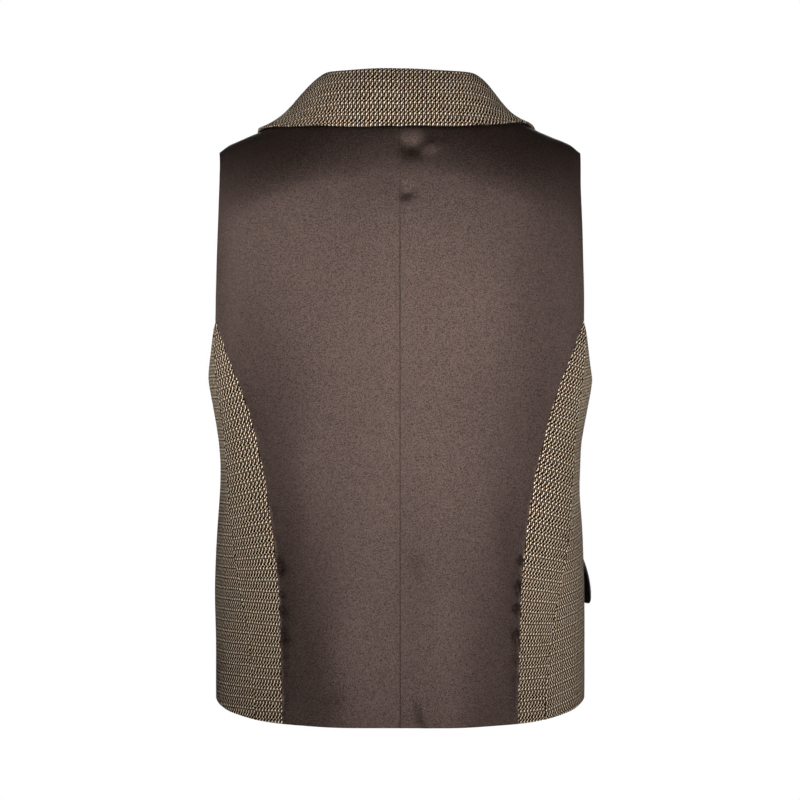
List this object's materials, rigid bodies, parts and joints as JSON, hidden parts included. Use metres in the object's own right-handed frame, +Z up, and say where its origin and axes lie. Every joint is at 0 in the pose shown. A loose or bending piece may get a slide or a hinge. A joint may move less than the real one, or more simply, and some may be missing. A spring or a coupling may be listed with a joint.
{
  "type": "suit waistcoat",
  "caption": "Suit waistcoat held open as worn: satin back panels, tweed side backs and fronts, a turned-down tweed shawl collar, hip pocket flaps and a row of front buttons.",
  "frame": {"origin": "at the base of the neck, level with the tops of the shoulder seams, midway between them and between front and back: where the wearer holds the waistcoat up", "axes": "+Z up from the hem to the collar, -Y towards the front with the buttons, +Y towards the back, +X towards the wearer's left"},
  "size_m": [0.3651, 0.2445, 0.6265],
  "materials": {
    "satin": "brown satin weave, soft sheen",
    "tweed": "wool tweed, cream flecks on dark brown with rust and green",
    "black_satin": "black satin",
    "horn": "dark horn-like, polished"
  },
  "bodies": {
    "root": {"back_left": "satin", "back_right": "satin", "side_back_left": "tweed", "side_back_right": "tweed", "front_left": "tweed", "front_right": "tweed", "collar": "tweed", "pocket_flap_left": "black_satin", "pocket_flap_right": "black_satin", "button_1": "horn", "button_2": "horn", "button_3": "horn", "button_4": "horn", "button_5": "horn"}
  },
  "joints": []
}
